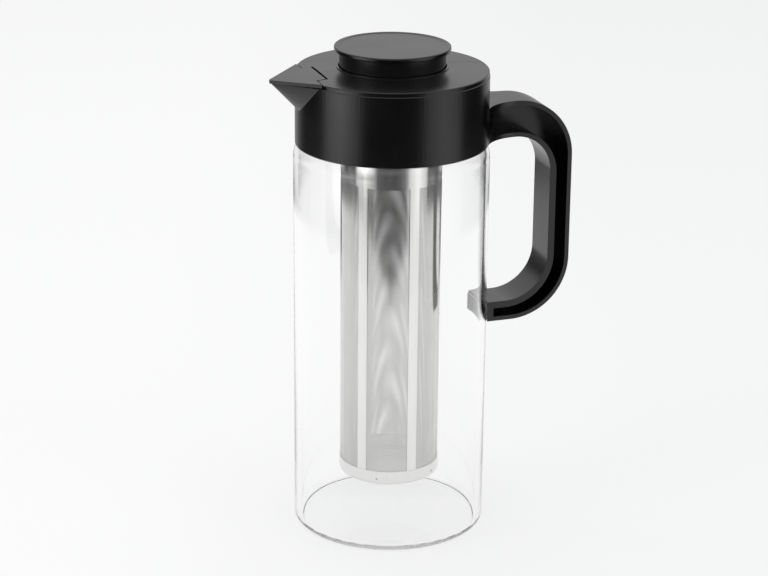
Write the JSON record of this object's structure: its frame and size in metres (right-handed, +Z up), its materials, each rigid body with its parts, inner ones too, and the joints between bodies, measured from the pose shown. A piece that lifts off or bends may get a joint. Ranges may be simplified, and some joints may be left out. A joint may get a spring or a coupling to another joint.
{
  "type": "iced tea maker",
  "caption": "Tall glass jug with a black collar, side handle and pouring spout, a lift-off lid with a hinged spout flap, a pull-off cap and a hanging perforated steel infuser.",
  "frame": {"origin": "centre of the flat ring that the jug stands on, on the jug's axis", "axes": "+Z up along the jug's axis, +X towards the handle, -X towards the spout's tip"},
  "size_m": [0.1595, 0.1, 0.2561],
  "materials": {
    "clear_glass": "clear blown borosilicate glass, smooth, uncoloured",
    "black_plastic": "satin black moulded plastic with a very fine texture",
    "clear_silicone": "frosted translucent grey silicone",
    "white_silicone": "matte white silicone",
    "filter_steel": "bright rolled stainless steel sheet",
    "mesh_steel": "very finely perforated stainless steel sheet",
    "polished_steel": "polished steel wire"
  },
  "bodies": {
    "jug": {"glass_jug": "clear_glass", "neck_seal": "clear_silicone", "collar": "black_plastic", "handle": "black_plastic", "foot_pad": "clear_silicone"},
    "lid": {"lid": "black_plastic", "lid_gasket": "white_silicone", "hinge_pin": "polished_steel"},
    "flap": {"spout_flap": "black_plastic"},
    "filter": {"filter_tube": "filter_steel", "filter_mesh": "mesh_steel", "filter_rim": "filter_steel", "filter_base": "filter_steel"},
    "cap": {"cap": "black_plastic", "cap_gasket": "white_silicone"}
  },
  "joints": [
    {"name": "lid_lift", "type": "slide", "parent": "jug", "child": "lid", "axis": [0, 0, 1], "range_m": [0, 0.225]},
    {"name": "flap_hinge", "type": "hinge", "parent": "lid", "child": "flap", "pos_m": [-0.04114, 0, 0.24316], "axis": [0, 1, 0], "range_deg": [0, 80]},
    {"name": "filter_lift", "type": "slide", "parent": "lid", "child": "filter", "axis": [0, 0, 1], "range_m": [0, 0.225]},
    {"name": "cap_lift", "type": "slide", "parent": "filter", "child": "cap", "axis": [0, 0, 1], "range_m": [0, 0.04]}
  ]
}
